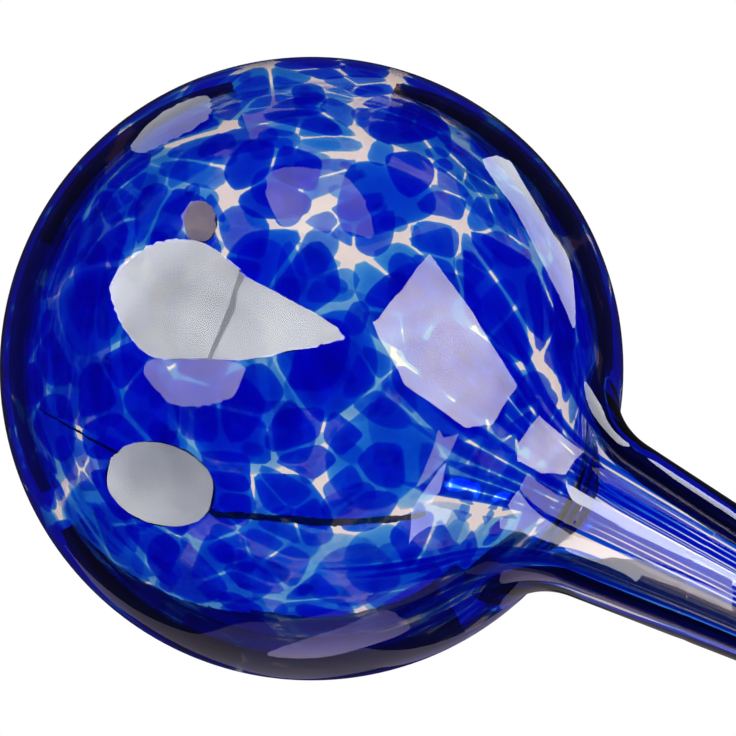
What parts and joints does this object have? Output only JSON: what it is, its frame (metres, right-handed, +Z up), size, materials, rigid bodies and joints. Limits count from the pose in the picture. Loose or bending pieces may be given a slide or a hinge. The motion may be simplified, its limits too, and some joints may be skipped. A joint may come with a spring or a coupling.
{
  "type": "watering globe",
  "caption": "Hollow blown-glass globe with melted-in blue chips and a long tapered hollow stem; filled with water and pushed stem-down into potting soil, it waters a plant slowly.",
  "frame": {"origin": "centre of the open tip at the foot of the stem", "axes": "+Z up the stem's axis to the globe, as the globe is used; the globe is round about Z, so X and Y are free"},
  "size_m": [0.08, 0.08, 0.265],
  "materials": {
    "clear_glass": "fire-polished clear soda-lime glass",
    "cobalt_glass": "deep cobalt blue chips",
    "royal_glass": "royal blue chips",
    "azure_glass": "azure blue chips",
    "streak_glass": "blue chips drawn out into streaks"
  },
  "bodies": {
    "root": {"globe_bubble": "clear_glass", "cobalt_chips": "cobalt_glass", "royal_chips": "royal_glass", "azure_chips": "azure_glass", "neck_streaks": "streak_glass", "stem_tube": "clear_glass", "stem_streaks": "streak_glass"}
  },
  "joints": []
}
